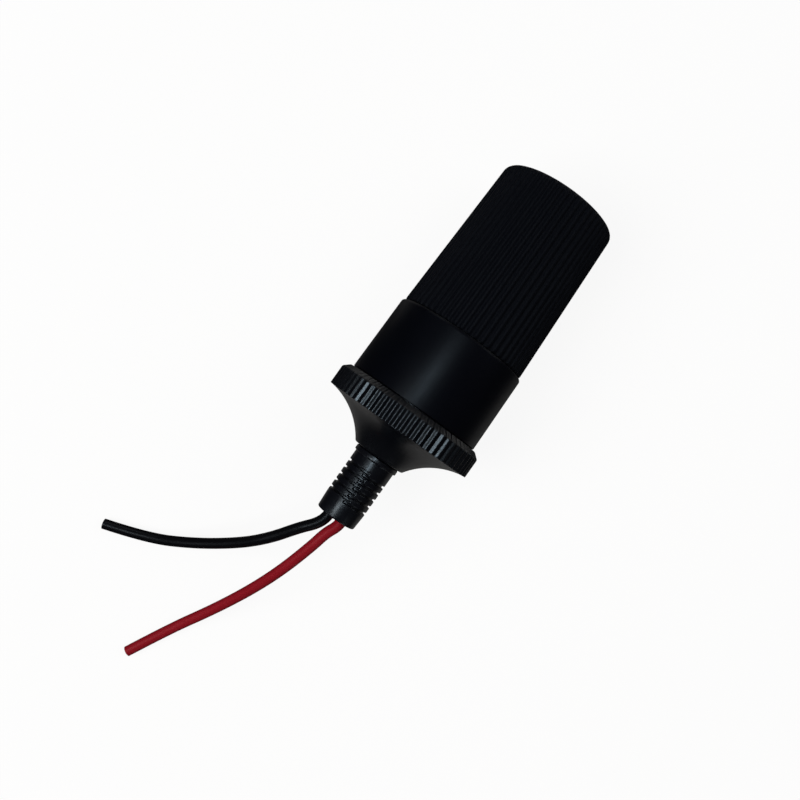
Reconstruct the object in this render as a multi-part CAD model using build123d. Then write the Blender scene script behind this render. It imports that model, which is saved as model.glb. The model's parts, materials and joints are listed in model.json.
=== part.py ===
"""In-line 12 V accessory socket for a car, lying on its side with its two cut leads.

Every piece is first modelled in the socket's own frame: X runs along the axis towards the mouth,
X = 0 is the rear plane of the knurled collar, and Y is the side that the black lead is on.
The whole is then laid down on the rims of the collar and the mouth. All sizes are in millimetres.
"""
from build123d import *
from math import acos, atan2, cos, degrees, hypot, pi, radians, sin, tan
import os

# Clearances
running_gap = 0.3  # between pieces that slide on one another
seat_gap = 0.1  # between flat faces that seat on one another
parting_gap = 0.15  # line between the barrel and the tightened cap
turning_gap = 0.15  # round the waist of the strain relief, which the cap turns on
fixed_gap = 0.05  # round leads, rivets and bosses in their holes

# Plug bore and the sheet of the shell
bore_radius = 10.55
bore_depth = 41.0
sheet = 0.5
base_bend = 1.6
contact_hole_radius = 4.0

# Outer barrel
collar_to_mouth = 57.6
shoulder_at = 22.6
body_rear_radius = 15.0
body_front_radius = 14.75
barrel_rear_radius = 14.3
mouth_radius = 13.1
mouth_round = 1.3
mouth_round_steps = 4
shoulder_round = 0.6
lip_length = 1.2
lip_margin = 0.25
lip_chamfer = 0.4
rib_count = 56
rib_depth = 0.42
rib_tip_share = 0.22
rib_root_share = 0.22

# Rear cap
collar_radius = 16.9
collar_length = 5.4
collar_chamfer_length = 1.1
collar_chamfer_depth = 1.3
tooth_count = 66
tooth_depth = 0.42
tooth_tip_share = 0.1
tooth_root_share = 0.1
neck_length = 6.8
neck_radius = 5.8
flare_angle = 33.0
rim_margin = 0.1
collar_wall = 1.2
spigot_wall = 1.7
cavity_cone_length = 4.9
neck_seat_radius = 6.2
neck_wall_length = 3.9

# Thread between cap and barrel: its ridges fill the gap between spigot and counterbore
thread_room = 0.5
thread_wall = 1.6

# Strain relief
relief_radius = 4.63
relief_bead_radius = 5.0
relief_bead_length = 1.15
relief_end = 22.0
relief_tip_radius = 4.42
relief_taper_length = 3.5
relief_flange_radius = 5.6
relief_flange_length = 1.5
relief_edge_round = 0.3
neck_wall = 2.05
slot_count = 5
slot_pitch = 1.63
slot_width = 0.55
first_slot_at = 10.6
slot_core_radius = 4.13
slot_overlap = 0.5

# Leads
lead_radius = 1.2
lead_spacing = 3.0
conductor_radius = 0.6
conductor_length = 4.2
lead_straight = 2.2
lead_run_out = 2.1
lead_run_in = 3.1

# Insulators, rivets and tags
base_insulator_length = 2.5
inner_insulator_length = 0.5
inner_insulator_radius = 4.9
key_width = 2.4
key_length = 6.0
key_height = 0.6
contact_radius = 3.4
contact_height = 0.9
contact_shank_radius = 1.95
contact_clinch_radius = 2.9
contact_clinch_height = 0.9
ground_rivet_offset = 7.0
ground_shank_radius = 1.1
ground_head_radius = 1.7
ground_head_height = 0.65
head_bevel = 0.7  # share of a rivet head's height that is bevelled
tag_sheet = 0.8
positive_ring_radius = 3.4
negative_ring_radius = 2.3
tag_width = 3.2
tag_tongue_length = 5.2
tag_inner_side = 4.4
crimp_ear = 0.6
crimp_height = 1.5
crimp_length = 3.0

# Side tongues of the shell
tongue_count = 2
tongue_length = 12.0
tongue_width = 5.0
tongue_slit = 0.6
tongue_cut_depth = 2.0
tongue_root_from_mouth = 9.0

# Free stretches of the leads, as they lie: points after the first two, in the finished frame
red_route = [
    (-46.0, -0.7, 19.0),
    (-50.4, 1.0, 18.4),
    (-55.6, 2.5, 16.2),
    (-64.8, 5.5, 10.9),
    (-75.7, 10.05, 4.6),
    (-86.3, 15.65, 1.21),
    (-96.25, 20.6, 1.21),
]
black_route = [
    (-44.7, 2.5, 19.0),
    (-47.2, 4.7, 18.6),
    (-52.2, 8.7, 16.3),
    (-58.4, 13.7, 10.9),
    (-66.0, 22.1, 4.6),
    (-72.1, 31.35, 1.21),
    (-75.36, 41.6, 1.21),
]
bend_share = 0.45

# Places along the axis that follow from the sizes above
mouth_face = collar_to_mouth
barrel_rear_face = collar_length + parting_gap
base_inside = mouth_face - bore_depth
base_outside = base_inside - sheet
shell_front = mouth_face - lip_length - seat_gap
insulator_rear = base_outside - base_insulator_length
tag_rear = insulator_rear - tag_sheet
contact_seat = base_inside + inner_insulator_length
spigot_front = insulator_rear - running_gap
neck_end = -neck_length
neck_seat = neck_end + neck_wall_length
relief_seat = neck_seat + seat_gap
relief_front = relief_seat + relief_flange_length
relief_shoulder = neck_end - parting_gap
bead_end = relief_shoulder - relief_bead_length
tag_end = tag_rear - tag_tongue_length
insulation_end = tag_end - seat_gap

# Radii that follow from the sizes above
shell_radius = bore_radius + sheet
seat_radius = shell_radius + running_gap
counterbore_radius = body_rear_radius - thread_wall
spigot_radius = counterbore_radius - thread_room
cavity_radius = spigot_radius - spigot_wall
insulator_radius = spigot_radius
neck_bore_radius = neck_radius - neck_wall
waist_radius = neck_bore_radius - turning_gap
tooth_root_radius = collar_radius - tooth_depth
lead_side = lead_spacing / 2
conductor_side = tag_inner_side - conductor_radius - fixed_gap


def turned(*corners):
    """A solid of revolution about the socket's axis, from the corners of its half section."""
    return revolve(make_face(Polyline(*corners, close=True)), Axis.X)


def ring(start, end, outer, inner):
    """A plain ring between two places on the axis."""
    return turned((start, inner), (end, inner), (end, outer), (start, outer))


def disc(start, end, radius, side=0.0):
    """A plain cylinder along the axis, moved sideways by `side`."""
    return Plane.YZ.offset(start) * Pos(side, 0, 0) * extrude(Circle(radius), end - start)


def toothed_section(place, tip_radius, depth, count, tip_share, root_share):
    """A face across the axis with `count` straight-sided teeth, one of them pointing down.

    The shares are the parts of the pitch that a tooth's tip and the root between two teeth take.
    """
    pitch = 2 * pi / count
    flank = (1 - tip_share - root_share) / 2
    turns = [-tip_share / 2, tip_share / 2, tip_share / 2 + flank, 1 - tip_share / 2 - flank]
    radii = [tip_radius, tip_radius, tip_radius - depth, tip_radius - depth]
    points = []
    for tooth in range(count):
        for turn, radius in zip(turns, radii):
            angle = (tooth + turn) * pitch - pi / 2
            points.append((place, radius * cos(angle), radius * sin(angle)))
    return make_face(Polyline(*points, close=True))


def toothed(sections, count, tip_share, root_share):
    """A toothed bar through sections, each given by its place on the axis, tip radius and tooth depth."""
    faces = [toothed_section(*section, count, tip_share, root_share) for section in sections]
    return loft(faces, ruled=True)


def block(start, end, side_from, side_to, half_height):
    """A box given by its stretch along the axis, its sides along Y and its half height."""
    size = Box(end - start, side_to - side_from, 2 * half_height)
    return Pos((start + end) / 2, (side_from + side_to) / 2, 0) * size


def cord(points, radius):
    """A round cord along straight runs joined by arcs, with the arcs' radii worked out from the runs."""
    corners = [Vector(*point) for point in points]
    runs = [after - before for before, after in zip(corners, corners[1:])]
    radii = []
    for before, after in zip(runs, runs[1:]):
        half_turn = radians(before.get_angle(after)) / 2
        radii.append(bend_share * min(before.length, after.length) / tan(half_turn))
    path = FilletPolyline(*corners, radius=radii)
    section = Plane(origin=path @ 0, z_dir=path % 0) * Circle(radius)
    print("cord length", round(path.length, 2), "arc radii", [round(value, 1) for value in radii])
    return sweep(section, path=path)


def outer_barrel():
    """Ribbed barrel and smooth rear body in one moulding, open through its length."""
    front, rear = mouth_face, shoulder_at
    slope = (barrel_rear_radius - mouth_radius) / (front - rear)
    round_radius = mouth_radius + slope * mouth_round
    sections = [(rear, barrel_rear_radius, rib_depth)]
    for step in range(mouth_round_steps + 1):
        turn = step / mouth_round_steps * pi / 2
        drop = mouth_round * (1 - cos(turn))
        sections.append((front - mouth_round * (1 - sin(turn)), round_radius - drop, max(0, rib_depth - drop)))
    fluted = toothed(sections, rib_count, rib_tip_share, rib_root_share)
    body = turned(
        (barrel_rear_face, 0), (barrel_rear_face, body_rear_radius), (rear, body_front_radius), (rear, 0)
    )
    body = fillet(body.edges().filter_by(GeomType.CIRCLE).sort_by(Axis.X)[-1], shoulder_round)
    lip_radius = bore_radius + lip_margin
    hollow = turned(
        (barrel_rear_face, 0),
        (barrel_rear_face, counterbore_radius),
        (base_outside + seat_gap, counterbore_radius),
        (base_outside + seat_gap, seat_radius),
        (front - lip_length, seat_radius),
        (front - lip_length, lip_radius),
        (front - lip_chamfer, lip_radius),
        (front, lip_radius + lip_chamfer),
        (front, 0),
    )
    barrel = fluted + body - hollow
    groove_radius = shell_radius + fixed_gap + key_height + running_gap
    groove_end = base_outside + key_length + running_gap
    groove_half = key_width / 2 + running_gap
    grooves = ring(base_outside, groove_end, groove_radius, shell_radius)
    grooves &= block(base_outside, groove_end, -groove_radius, groove_radius, groove_half)
    return barrel - grooves


def rear_cap():
    """Screw cap: knurled collar, trumpet-shaped tail with a neck, and the spigot for the thread."""
    rim = tooth_root_radius - rim_margin
    flare_start = (cos(radians(flare_angle)), sin(radians(flare_angle)))
    flare = TangentArc((neck_end, neck_radius), (0, rim), tangent=flare_start)
    outline = Polyline(
        (0, rim),
        (collar_length / 2, rim),
        (collar_length / 2, spigot_radius),
        (spigot_front, spigot_radius),
        (spigot_front, cavity_radius),
        (neck_seat + cavity_cone_length, cavity_radius),
        (neck_seat, neck_seat_radius),
        (neck_seat, neck_bore_radius),
        (neck_end, neck_bore_radius),
        (neck_end, neck_radius),
    )
    collar = toothed(
        [
            (0, collar_radius, tooth_depth),
            (collar_length - collar_chamfer_length, collar_radius, tooth_depth),
            (collar_length, collar_radius - collar_chamfer_depth, tooth_depth),
        ],
        tooth_count,
        tooth_tip_share,
        tooth_root_share,
    )
    collar -= disc(0, collar_length, spigot_radius - collar_wall)
    return revolve(make_face([flare, outline]), Axis.X) + collar


def strain_relief():
    """Soft bend relief snapped into the neck: a bead, slots in turn from both sides and a tapered end."""
    relief = turned(
        (relief_front, 0),
        (relief_front, relief_flange_radius),
        (relief_seat, relief_flange_radius),
        (relief_seat, waist_radius),
        (relief_shoulder, waist_radius),
        (relief_shoulder, relief_bead_radius),
        (bead_end, relief_bead_radius),
        (bead_end, relief_radius),
        (relief_taper_length - relief_end, relief_radius),
        (-relief_end, relief_tip_radius),
        (-relief_end, 0),
    )
    end_edge = relief.edges().filter_by(GeomType.CIRCLE).sort_by(Axis.X)[0]
    relief = fillet(end_edge, relief_edge_round)
    for number in range(slot_count):
        for side, stagger in ((1, 0.0), (-1, 0.5)):
            centre = -first_slot_at - (number + stagger) * slot_pitch
            start, end = centre - slot_width / 2, centre + slot_width / 2
            reach = 2 * relief_radius
            half = block(start, end, -slot_overlap, reach, reach)
            half = half if side > 0 else mirror(half, Plane.XZ)
            relief -= ring(start, end, relief_radius + slot_width, slot_core_radius) & half
    for side in (lead_side, -lead_side):
        relief -= disc(-relief_end, relief_front, lead_radius + fixed_gap, side)
    return relief


def socket_shell():
    """Drawn steel can: the plug's bore and its earth contact, with two lanced spring tongues."""
    can = turned(
        (base_outside, 0), (base_outside, shell_radius), (shell_front, shell_radius), (shell_front, 0)
    )
    can = fillet(can.edges().filter_by(GeomType.CIRCLE).sort_by(Axis.X)[0], base_bend + sheet)
    inside = turned((base_inside, 0), (base_inside, bore_radius), (mouth_face, bore_radius), (mouth_face, 0))
    inside = fillet(inside.edges().filter_by(GeomType.CIRCLE).sort_by(Axis.X)[0], base_bend)
    can -= inside
    can -= disc(base_outside, base_inside, contact_hole_radius)
    can -= disc(base_outside, base_inside, ground_shank_radius + fixed_gap, ground_rivet_offset)
    root = mouth_face - tongue_root_from_mouth
    tip = root - tongue_length
    slit = Pos((root + tip) / 2, 0, shell_radius) * Box(tongue_length, tongue_width, tongue_cut_depth)
    tongue = Pos((root + tip + tongue_slit) / 2, 0, shell_radius) * Box(
        tongue_length - tongue_slit, tongue_width - 2 * tongue_slit, tongue_cut_depth
    )
    for number in range(tongue_count):
        can -= Rot(number * 360 / tongue_count, 0, 0) * (slit - tongue)
    return can


def inner_insulator():
    """Shouldered fibre washer under the centre contact, its boss lining the hole in the can."""
    washer = disc(base_inside, contact_seat, inner_insulator_radius)
    washer += disc(base_outside, base_inside, contact_hole_radius - fixed_gap)
    return washer - disc(base_outside, contact_seat, contact_shank_radius + fixed_gap)


def base_insulator():
    """Moulded disc behind the can, clamped by the cap, with two keys that stop it turning."""
    base = disc(insulator_rear, base_outside, insulator_radius)
    inner, outer = shell_radius + fixed_gap, shell_radius + fixed_gap + key_height
    keys = ring(base_outside, base_outside + key_length, outer, inner)
    base += keys & block(base_outside, base_outside + key_length, -outer, outer, key_width / 2)
    base -= disc(insulator_rear, base_outside, contact_shank_radius + fixed_gap)
    return base - disc(insulator_rear, base_outside, ground_shank_radius + fixed_gap, ground_rivet_offset)


def button(start, end, radius):
    """A round head along the axis, with its edge at `end` bevelled."""
    head = disc(min(start, end), max(start, end), radius)
    edges = head.edges().filter_by(GeomType.CIRCLE).sort_by(Axis.X)
    return chamfer(edges[-1] if end > start else edges[0], head_bevel * abs(end - start))


def riveted(shank_radius, start, end, front_radius, front_height, rear_radius, rear_height):
    """A rivet between two faces, with its made head in front and its clinched head behind."""
    made_head = button(end, end + front_height, front_radius)
    clinched_head = button(start, start - rear_height, rear_radius)
    return disc(start, end, shank_radius) + made_head + clinched_head


def centre_contact():
    """Brass rivet whose head is the positive contact at the bottom of the bore."""
    return riveted(
        contact_shank_radius, tag_rear, contact_seat,
        contact_radius, contact_height, contact_clinch_radius, contact_clinch_height,
    )


def negative_rivet():
    """Small rivet that clamps the negative tag and the base insulator to the can."""
    rivet = riveted(
        ground_shank_radius, tag_rear, base_inside,
        ground_head_radius, ground_head_height, ground_head_radius, ground_head_height,
    )
    return Pos(0, ground_rivet_offset, 0) * rivet


def solder_tag(ring_radius, ring_side, hole_radius, side):
    """Brass tag: a ring under a rivet, and a tongue bent back with two ears round the conductor."""
    near, far = sorted((side * tag_inner_side, side * (tag_inner_side + tag_sheet)))
    flat = disc(tag_rear, insulator_rear, ring_radius, ring_side)
    flat += block(tag_rear, insulator_rear, min(near, ring_side), max(far, ring_side), tag_width / 2)
    tag = flat + block(tag_end, insulator_rear, near, far, tag_width / 2)
    inner = conductor_radius + fixed_gap
    ear_tip = side * (tag_inner_side - crimp_height)
    ear_low, ear_high = sorted((ear_tip, side * tag_inner_side))
    ears = block(tag_end, tag_end + crimp_length, ear_low, ear_high, inner + crimp_ear)
    ears -= block(tag_end, tag_end + crimp_length, ear_low, ear_high, inner)
    return tag + ears - disc(tag_rear, insulator_rear, hole_radius, ring_side)


def lead_inner(side):
    """Held stretch of a lead: straight through the strain relief, then out to its tag."""
    spread_start = relief_front + lead_run_out
    spread_end = insulation_end - lead_run_in
    return cord(
        [
            (-relief_end, side * lead_side, 0),
            (spread_start, side * lead_side, 0),
            (spread_end, side * conductor_side, 0),
            (insulation_end, side * conductor_side, 0),
        ],
        lead_radius,
    )


def conductor(side):
    """Stripped end of a lead, lying in its tag's ears."""
    return disc(insulation_end, insulation_end + conductor_length, conductor_radius, side * conductor_side)


def resting_tilt():
    """Angle of the axis when the collar's front rim and the rounded mouth both touch the ground."""
    slope = (barrel_rear_radius - mouth_radius) / (mouth_face - shoulder_at)
    round_centre = mouth_face - mouth_round
    round_centre_radius = mouth_radius + slope * mouth_round - mouth_round
    rise = collar_radius - round_centre_radius
    run = round_centre - (collar_length - collar_chamfer_length)
    return degrees(acos(mouth_round / hypot(rise, run)) - atan2(run, rise))


pieces = {
    "outer_barrel": outer_barrel(),
    "rear_cap": rear_cap(),
    "strain_relief": strain_relief(),
    "socket_shell": socket_shell(),
    "inner_insulator": inner_insulator(),
    "base_insulator": base_insulator(),
    "centre_contact": centre_contact(),
    "negative_rivet": negative_rivet(),
    "positive_tag": solder_tag(positive_ring_radius, 0.0, contact_shank_radius + fixed_gap, -1),
    "negative_tag": solder_tag(
        negative_ring_radius, ground_rivet_offset, ground_shank_radius + fixed_gap, 1
    ),
    "red_lead_inner": lead_inner(-1),
    "black_lead_inner": lead_inner(1),
    "red_conductor": conductor(-1),
    "black_conductor": conductor(1),
}

tilted = Rot(0, resting_tilt(), 0)
outside = Compound([tilted * pieces[name] for name in ("outer_barrel", "rear_cap", "strain_relief")])
box = outside.bounding_box()
laid = Pos(-(box.min.X + box.max.X) / 2, 0, -box.min.Z) * tilted
finished = {name: laid * piece for name, piece in pieces.items()}

for name, side, route in (("red_lead", -1, red_route), ("black_lead", 1, black_route)):
    start = laid * Pos(-relief_end, side * lead_side, 0)
    straight = laid * Pos(-relief_end - lead_straight, side * lead_side, 0)
    finished[name] = cord([start.position, straight.position, *route], lead_radius)

os.makedirs("parts", exist_ok=True)
for name, piece in finished.items():
    piece.label = name
    export_step(piece, f"parts/{name}.step")

mouth = laid * Pos(mouth_face, 0, 0)
print("tilt", round(resting_tilt(), 3), "collar centre", laid.position, "mouth centre", mouth.position)
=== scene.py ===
"""In-line 12 V car socket, lying on a white ground with its two cut leads.

The turned mouldings are modelled in the socket's own frame, in millimetres: X (written s) runs along the axis
towards the mouth from the rear plane of the knurled collar, and Y points to the black lead's side.
"""
import json
import logging
import math
from dataclasses import dataclass
from enum import Enum
from typing import Any, Callable, Optional, Sequence, Union

import bmesh
import bpy
from mathutils import Matrix, Vector


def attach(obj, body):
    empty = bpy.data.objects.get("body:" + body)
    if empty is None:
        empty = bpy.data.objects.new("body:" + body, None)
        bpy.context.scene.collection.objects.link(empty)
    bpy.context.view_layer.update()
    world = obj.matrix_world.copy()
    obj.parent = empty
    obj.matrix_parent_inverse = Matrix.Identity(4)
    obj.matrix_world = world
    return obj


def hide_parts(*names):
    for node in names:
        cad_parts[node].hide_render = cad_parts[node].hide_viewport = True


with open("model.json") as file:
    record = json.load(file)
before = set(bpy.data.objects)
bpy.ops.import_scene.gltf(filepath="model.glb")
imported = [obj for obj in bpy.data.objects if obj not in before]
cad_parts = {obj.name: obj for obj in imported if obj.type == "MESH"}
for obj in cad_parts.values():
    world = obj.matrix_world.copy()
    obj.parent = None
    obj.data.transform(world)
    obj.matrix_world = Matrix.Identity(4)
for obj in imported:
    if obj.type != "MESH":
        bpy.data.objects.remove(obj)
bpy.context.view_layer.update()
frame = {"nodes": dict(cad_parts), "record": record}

Colour = tuple[float, float, float]
Point = tuple[float, float, float]
Span = tuple[float, float]
Material = bpy.types.Material
Shape = bmesh.types.BMesh
Socket = bpy.types.NodeSocket
Number = Union["Value", float]
Sockets = dict[Union[str, int], Union[Number, Socket, Sequence[float]]]

LOG = logging.getLogger("power_socket")
MM = 0.001
FULL_TURN = 2 * math.pi
JOIN = 0.002
FINE_EDGE = 0.15
EDGE = 0.2
BROAD_EDGE = 0.25
NOISE_MIDDLE = 0.5
RELIEF_END = -22.0
WARM_WHITE: Colour = (1.0, 0.99, 0.97)
COOL_WHITE: Colour = (0.8, 0.92, 1.0)
DAY_WHITE: Colour = (0.68, 0.86, 1.0)


class Body(Enum):
    """The moving bodies that pieces ride on."""

    BARREL = "barrel"
    INSERT = "insert"
    CAP = "cap"


class Side(Enum):
    """The two sides of the axis, as signs along Y."""

    RED = -1
    BLACK = 1


@dataclass(frozen=True)
class SocketAxis:
    """Where the socket's own frame lies in the finished one."""

    origin: Vector
    along: Vector

    @classmethod
    def from_record(cls, record: dict[str, Any]) -> "SocketAxis":
        """Reads the axis from the joint that the cap turns on, whose place is in the collar's rear plane."""
        hinge = next(joint for joint in record["behaviour"]["joints"] if joint["name"] == "cap_turn")
        return cls(Vector(hinge["pos_m"]), -Vector(hinge["axis"]).normalized())

    @property
    def tilt(self) -> float:
        """The angle by which the axis dips towards the mouth."""
        return math.atan2(-self.along.z, self.along.x)

    @property
    def matrix(self) -> Matrix:
        """Takes the own frame, in millimetres, to the finished one, in metres."""
        turn = Matrix.Rotation(self.tilt, 4, "Y")
        return Matrix.Translation(self.origin) @ turn @ Matrix.Scale(MM, 4)

    def place(self, s: float, y: float, z: float) -> Vector:
        """One point of the own frame, in the finished frame."""
        return self.matrix @ Vector((s, y, z))


class Value:
    """A number that varies over a surface: a socket whose operators add Math nodes."""

    def __init__(self, shader: "Shader", socket: Socket) -> None:
        """Wraps an output socket of the shader's node tree."""
        self.shader = shader
        self.socket = socket

    def maths(self, operation: str, *terms: Number) -> "Value":
        """Adds one Math node, whose inputs are these terms in order."""
        node = self.shader.node("ShaderNodeMath", {"operation": operation}, dict(enumerate(terms)))
        return Value(self.shader, node.outputs[0])

    def __add__(self, other: Number) -> "Value":
        """self + other."""
        return self.maths("ADD", self, other)

    __radd__ = __add__

    def __sub__(self, other: Number) -> "Value":
        """self - other."""
        return self.maths("SUBTRACT", self, other)

    def __rsub__(self, other: float) -> "Value":
        """other - self."""
        return self.maths("SUBTRACT", other, self)

    def __mul__(self, other: Number) -> "Value":
        """self * other."""
        return self.maths("MULTIPLY", self, other)

    __rmul__ = __mul__

    def __pow__(self, power: float) -> "Value":
        """self to a power."""
        return self.maths("POWER", self, power)

    def highest(self, other: Number) -> "Value":
        """The larger of self and other."""
        return self.maths("MAXIMUM", self, other)

    def rise(self, low: float, high: float) -> "Value":
        """A smooth step from 0 at `low` to 1 at `high`."""
        sockets: Sockets = {"Value": self, "From Min": low, "From Max": high}
        node = self.shader.node("ShaderNodeMapRange", {"interpolation_type": "SMOOTHSTEP"}, sockets)
        return Value(self.shader, node.outputs["Result"])


class Shader:
    """Writes the nodes of one material or world."""

    def __init__(self, owner: Union[Material, bpy.types.World]) -> None:
        """Keeps the material or world, and empties its node tree."""
        owner.use_nodes = True
        self.owner = owner
        self.tree = owner.node_tree
        self.tree.nodes.clear()

    def node(
        self, kind: str, settings: Optional[dict[str, Any]] = None, sockets: Optional[Sockets] = None
    ) -> bpy.types.Node:
        """Adds any node.

        Args:
            kind: the node's type.
            settings: its own properties, which are set first.
            sockets: values or links of its inputs, by name or number.

        Returns:
            The node.
        """
        node = self.tree.nodes.new(kind)
        for key, value in (settings or {}).items():
            setattr(node, key, value)
        for key, value in (sockets or {}).items():
            source = value.socket if isinstance(value, Value) else value
            if isinstance(source, Socket):
                self.tree.links.new(source, node.inputs[key])
            else:
                node.inputs[key].default_value = source
        return node

    def number(self, socket: Socket) -> Value:
        """Wraps a socket for maths."""
        return Value(self, socket)

    def tint(self, first: Colour, second: Colour, share: Value) -> Socket:
        """Mixes two colours: the first where the share is 0, the second where it is 1."""
        sockets: Sockets = {0: share, 6: (*first, 1.0), 7: (*second, 1.0)}
        return self.node("ShaderNodeMix", {"data_type": "RGBA"}, sockets).outputs[2]

    def relief(self, height: Value, depth: float, under: Optional[Socket] = None) -> Socket:
        """Bumps the surface.

        Args:
            height: from 0 to 1 over the surface.
            depth: the real height of that, in millimetres.
            under: the normal of another bump below this one.

        Returns:
            The bumped normal.
        """
        sockets: Sockets = {"Strength": 1.0, "Distance": depth * MM, "Height": height}
        if under is not None:
            sockets["Normal"] = under
        return self.node("ShaderNodeBump", {}, sockets).outputs[0]

    def rays(self) -> list[Value]:
        """1 for rays from the camera, from a mirror and through a clear piece, in that order."""
        kinds = self.node("ShaderNodeLightPath").outputs
        return [self.number(kinds[f"Is {kind} Ray"]) for kind in ("Camera", "Glossy", "Transmission")]

    def finished(self, surface: bpy.types.Node) -> Material:
        """Ends the material in a surface shader, and gives the material."""
        self.node("ShaderNodeOutputMaterial", {}, {"Surface": surface.outputs[0]})
        return self.owner

    def principled(self, sockets: Sockets) -> Material:
        """Ends the material in a Principled shader with these sockets."""
        return self.finished(self.node("ShaderNodeBsdfPrincipled", {}, sockets))


@dataclass(frozen=True)
class Pattern:
    """A noise over a piece: cells for each millimetre, octaves, and a factor along each axis."""

    scale: float
    detail: float
    stretch: Optional[Point] = None


class OwnFrame:
    """The socket's own coordinates inside a material, in millimetres."""

    def __init__(self, shader: Shader, axis: SocketAxis) -> None:
        """Turns Object coordinates back into the own frame."""
        self.shader = shader
        point = shader.node("ShaderNodeTexCoord").outputs["Object"]
        mapping = shader.node(
            "ShaderNodeMapping",
            {"vector_type": "TEXTURE"},
            {"Vector": point, "Location": axis.origin, "Rotation": (0, axis.tilt, 0), "Scale": (MM, MM, MM)},
        )
        self.vector = mapping.outputs[0]
        parts = shader.node("ShaderNodeSeparateXYZ", {}, {0: self.vector})
        self.s, y, z = (shader.number(socket) for socket in parts.outputs)
        self.radius = (y * y + z * z) ** 0.5

    def noise(self, pattern: Pattern) -> Value:
        """A noise from 0 to 1.

        Args:
            pattern: its size and its stretch.

        Returns:
            The noise.
        """
        vector = self.vector
        if pattern.stretch is not None:
            mapping = self.shader.node("ShaderNodeMapping", {}, {"Vector": vector, "Scale": pattern.stretch})
            vector = mapping.outputs[0]
        sockets: Sockets = {"Vector": vector, "Scale": pattern.scale, "Detail": pattern.detail}
        return self.shader.number(self.shader.node("ShaderNodeTexNoise", {}, sockets).outputs[0])


Mask = Callable[[OwnFrame], Value]


@dataclass(frozen=True)
class MouldedPlastic:
    """Hard moulding with a fine eroded grain, a little rubbed where hands meet it."""

    name: str
    colour: Colour
    rubbed: Colour
    roughness: float
    polish: float
    grain: float
    grain_depth: float
    gloss: float
    matting: float = 0.0
    grain_detail: float = 3.0
    cloud: Pattern = Pattern(0.16, 4.0)
    flow: Pattern = Pattern(1.0, 2.0, (0.05, 0.9, 0.9))
    flow_depth: float = 0.012
    rubbed_cloud: Span = (0.3, 0.75)
    rub_tint: float = 0.7
    flow_tint: float = 0.3
    cloud_dulling: float = 0.12
    grain_dulling: float = 0.05
    refraction: float = 1.5

    def material(self, axis: SocketAxis, touched: Mask, matted: Optional[Mask] = None) -> Material:
        """Makes the material.

        Args:
            axis: the socket's axis.
            touched: gives 1 where the piece is rubbed and 0 in its hollows.
            matted: gives 1 where the mould is duller by `matting`, if it has such a part.

        Returns:
            The material.
        """
        shader = Shader(bpy.data.materials.new(self.name))
        own = OwnFrame(shader, axis)
        grain = own.noise(Pattern(1 / self.grain, self.grain_detail))
        cloud = own.noise(self.cloud)
        flow = own.noise(self.flow)
        rub = touched(own) * cloud.rise(*self.rubbed_cloud)
        shine = self.roughness + self.cloud_dulling * (cloud - NOISE_MIDDLE)
        shine = shine + self.grain_dulling * (grain - NOISE_MIDDLE) - self.polish * rub
        if matted is not None:
            shine = shine + self.matting * matted(own)
        share = rub * self.rub_tint + flow * self.flow_tint
        return shader.principled(
            {
                "Base Color": shader.tint(self.colour, self.rubbed, share),
                "Roughness": shine,
                "IOR": self.refraction,
                "Specular IOR Level": self.gloss,
                "Normal": shader.relief(flow, self.flow_depth, shader.relief(grain, self.grain_depth)),
            }
        )


@dataclass(frozen=True)
class SoftVinyl:
    """Flexible vinyl, smooth from its die, with faint scuffs and drag lines along it."""

    name: str
    colour: Colour
    scuffed: Colour
    roughness: float
    ripple: float
    gloss: float
    skin: Pattern = Pattern(5.5, 3.0)
    skin_ripple: float = 0.4
    cloud: Pattern = Pattern(0.35, 3.0)
    drag: Pattern = Pattern(1.0, 2.0, (0.25, 3.0, 3.0))
    scuffed_drag: Span = (0.52, 0.8)
    scuffed_cloud: Span = (0.35, 0.7)
    scuff_tint: float = 0.6
    cloud_tint: float = 0.25
    scuff_dulling: float = 0.14
    cloud_dulling: float = 0.1
    refraction: float = 1.52

    def material(self, axis: SocketAxis) -> Material:
        """Makes the material.

        Args:
            axis: the socket's axis.

        Returns:
            The material.
        """
        shader = Shader(bpy.data.materials.new(self.name))
        own = OwnFrame(shader, axis)
        skin, cloud, drag = own.noise(self.skin), own.noise(self.cloud), own.noise(self.drag)
        scuff = drag.rise(*self.scuffed_drag) * cloud.rise(*self.scuffed_cloud)
        share = scuff * self.scuff_tint + cloud * self.cloud_tint
        dulling = self.roughness + self.scuff_dulling * scuff
        under = shader.relief(skin, self.ripple * self.skin_ripple)
        return shader.principled(
            {
                "Base Color": shader.tint(self.colour, self.scuffed, share),
                "Roughness": dulling + self.cloud_dulling * (cloud - NOISE_MIDDLE),
                "IOR": self.refraction,
                "Specular IOR Level": self.gloss,
                "Normal": shader.relief(drag, self.ripple, under),
            }
        )


class Lay(Enum):
    """The way that a metal's working marks run."""

    DRAWN = Pattern(2.0, 4.0, (0.04, 3.4, 3.4))
    TURNED = Pattern(2.0, 4.0, (5.0, 0.12, 0.12))


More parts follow.
